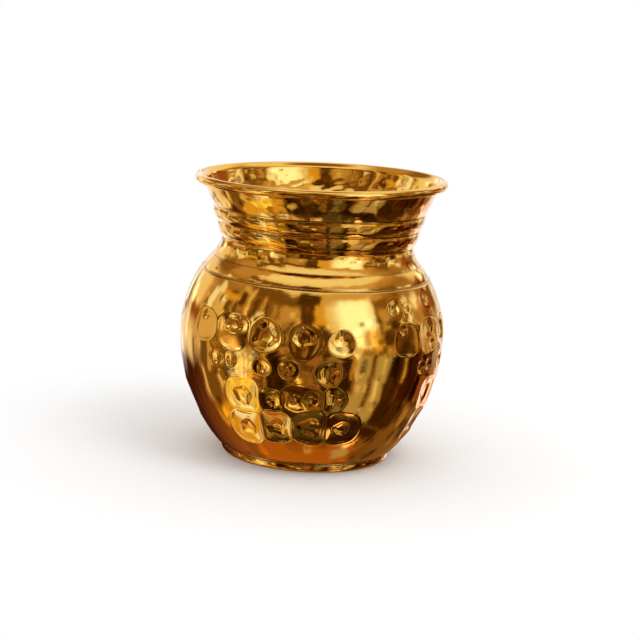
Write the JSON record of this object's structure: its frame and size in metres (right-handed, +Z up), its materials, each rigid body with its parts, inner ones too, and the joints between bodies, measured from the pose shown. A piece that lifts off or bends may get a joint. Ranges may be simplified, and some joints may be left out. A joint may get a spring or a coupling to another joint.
{
  "type": "kalash",
  "caption": "Small round brass pot with a hammered belly, a ribbed flared neck with a rolled rim, and a foot ring.",
  "frame": {"origin": "on the axis of the pot, at the level of the surface that the foot ring stands on", "axes": "+Z up along the axis of the pot; -Y faces the viewer of the picture; +X to the viewer's right"},
  "size_m": [0.07, 0.07, 0.0746],
  "materials": {
    "hammered_brass": "hand hammered and mirror polished",
    "polished_brass": "spun and mirror polished",
    "brass_wire": "drawn, dull",
    "braze": "as brazed, lightly polished"
  },
  "bodies": {
    "root": {"bowl": "hammered_brass", "neck": "polished_brass", "rim_wire": "brass_wire", "foot_ring": "polished_brass", "neck_seam_braze": "braze", "foot_seam_braze": "braze"}
  },
  "joints": []
}
